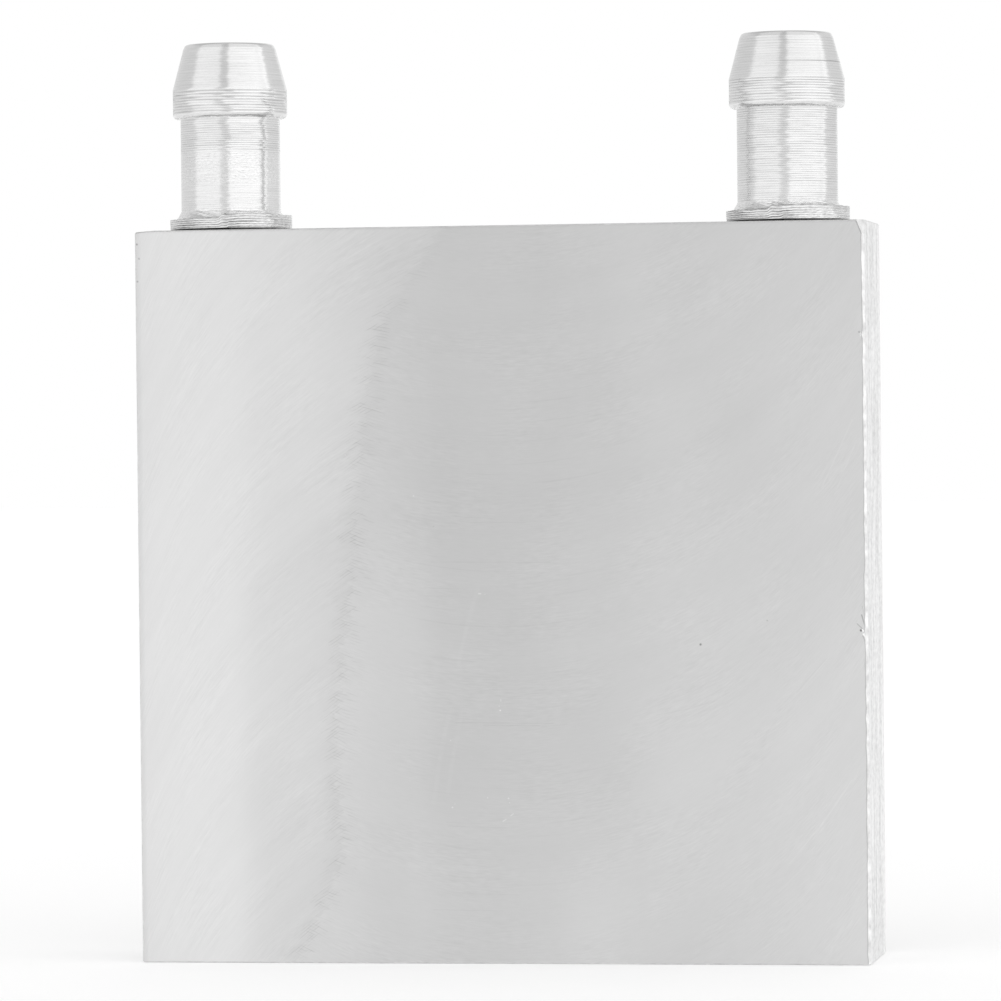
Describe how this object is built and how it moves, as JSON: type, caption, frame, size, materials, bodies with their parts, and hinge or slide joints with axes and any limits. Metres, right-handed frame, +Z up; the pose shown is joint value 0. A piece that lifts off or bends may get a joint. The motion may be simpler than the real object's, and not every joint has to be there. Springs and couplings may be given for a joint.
{
  "type": "liquid cooling cold plate",
  "caption": "Square aluminium cold plate with a milled cooling face, a winding coolant channel with folded fins inside, and turned hose barbs on its top edge for coolant in and out.",
  "frame": {"origin": "middle of the plate's bottom edge, at half its thickness", "axes": "+Z up along the hose barbs, -Y out of the milled cooling face, +X towards the outlet barb"},
  "size_m": [0.06, 0.012, 0.0755],
  "materials": {
    "milled_plate": "fly-cut face, sawn edges",
    "cover_sheet": "satin",
    "turned_barb": "fine turned",
    "fin_sheet": "mill finish"
  },
  "bodies": {
    "root": {"channel_plate": "milled_plate", "cover_plate": "cover_sheet", "inlet_barb": "turned_barb", "outlet_barb": "turned_barb", "fin_strip_1": "fin_sheet", "fin_strip_2": "fin_sheet", "fin_strip_3": "fin_sheet", "fin_strip_4": "fin_sheet", "fin_strip_5": "fin_sheet", "fin_strip_6": "fin_sheet"}
  },
  "joints": []
}
